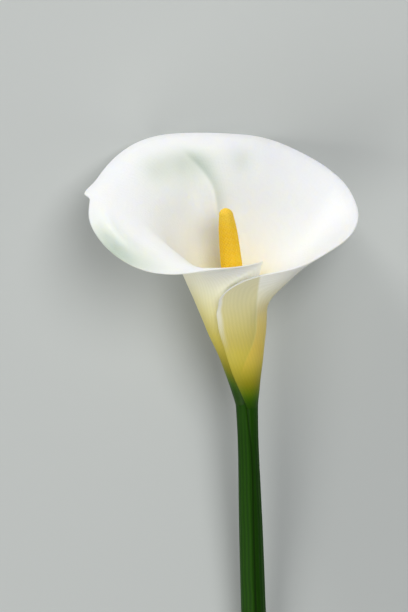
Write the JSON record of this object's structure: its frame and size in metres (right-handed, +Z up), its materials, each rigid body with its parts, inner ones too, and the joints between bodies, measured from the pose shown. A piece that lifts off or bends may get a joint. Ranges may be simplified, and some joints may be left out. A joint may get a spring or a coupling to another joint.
{
  "type": "arum lily flower",
  "caption": "Arum lily flower lying on its back: a rolled white funnel with a yellow column inside, on a green cut stem.",
  "frame": {"origin": "the middle of the bounding box on the surface that the flower lies on", "axes": "+Z up from that surface, +Y along the flower from the cut end of the stem to the mouth, +X to the right of the lapped side seen from above"},
  "size_m": [0.1178, 0.2673, 0.072],
  "materials": {
    "stem": "fleshy green stalk, satin, faintly ribbed",
    "spathe": "waxy white petal, cream in the throat, yellow-green at the base",
    "spadix": "matte yellow, closely beaded"
  },
  "bodies": {
    "root": {"stem": "stem", "spathe": "spathe", "spadix": "spadix"}
  },
  "joints": []
}
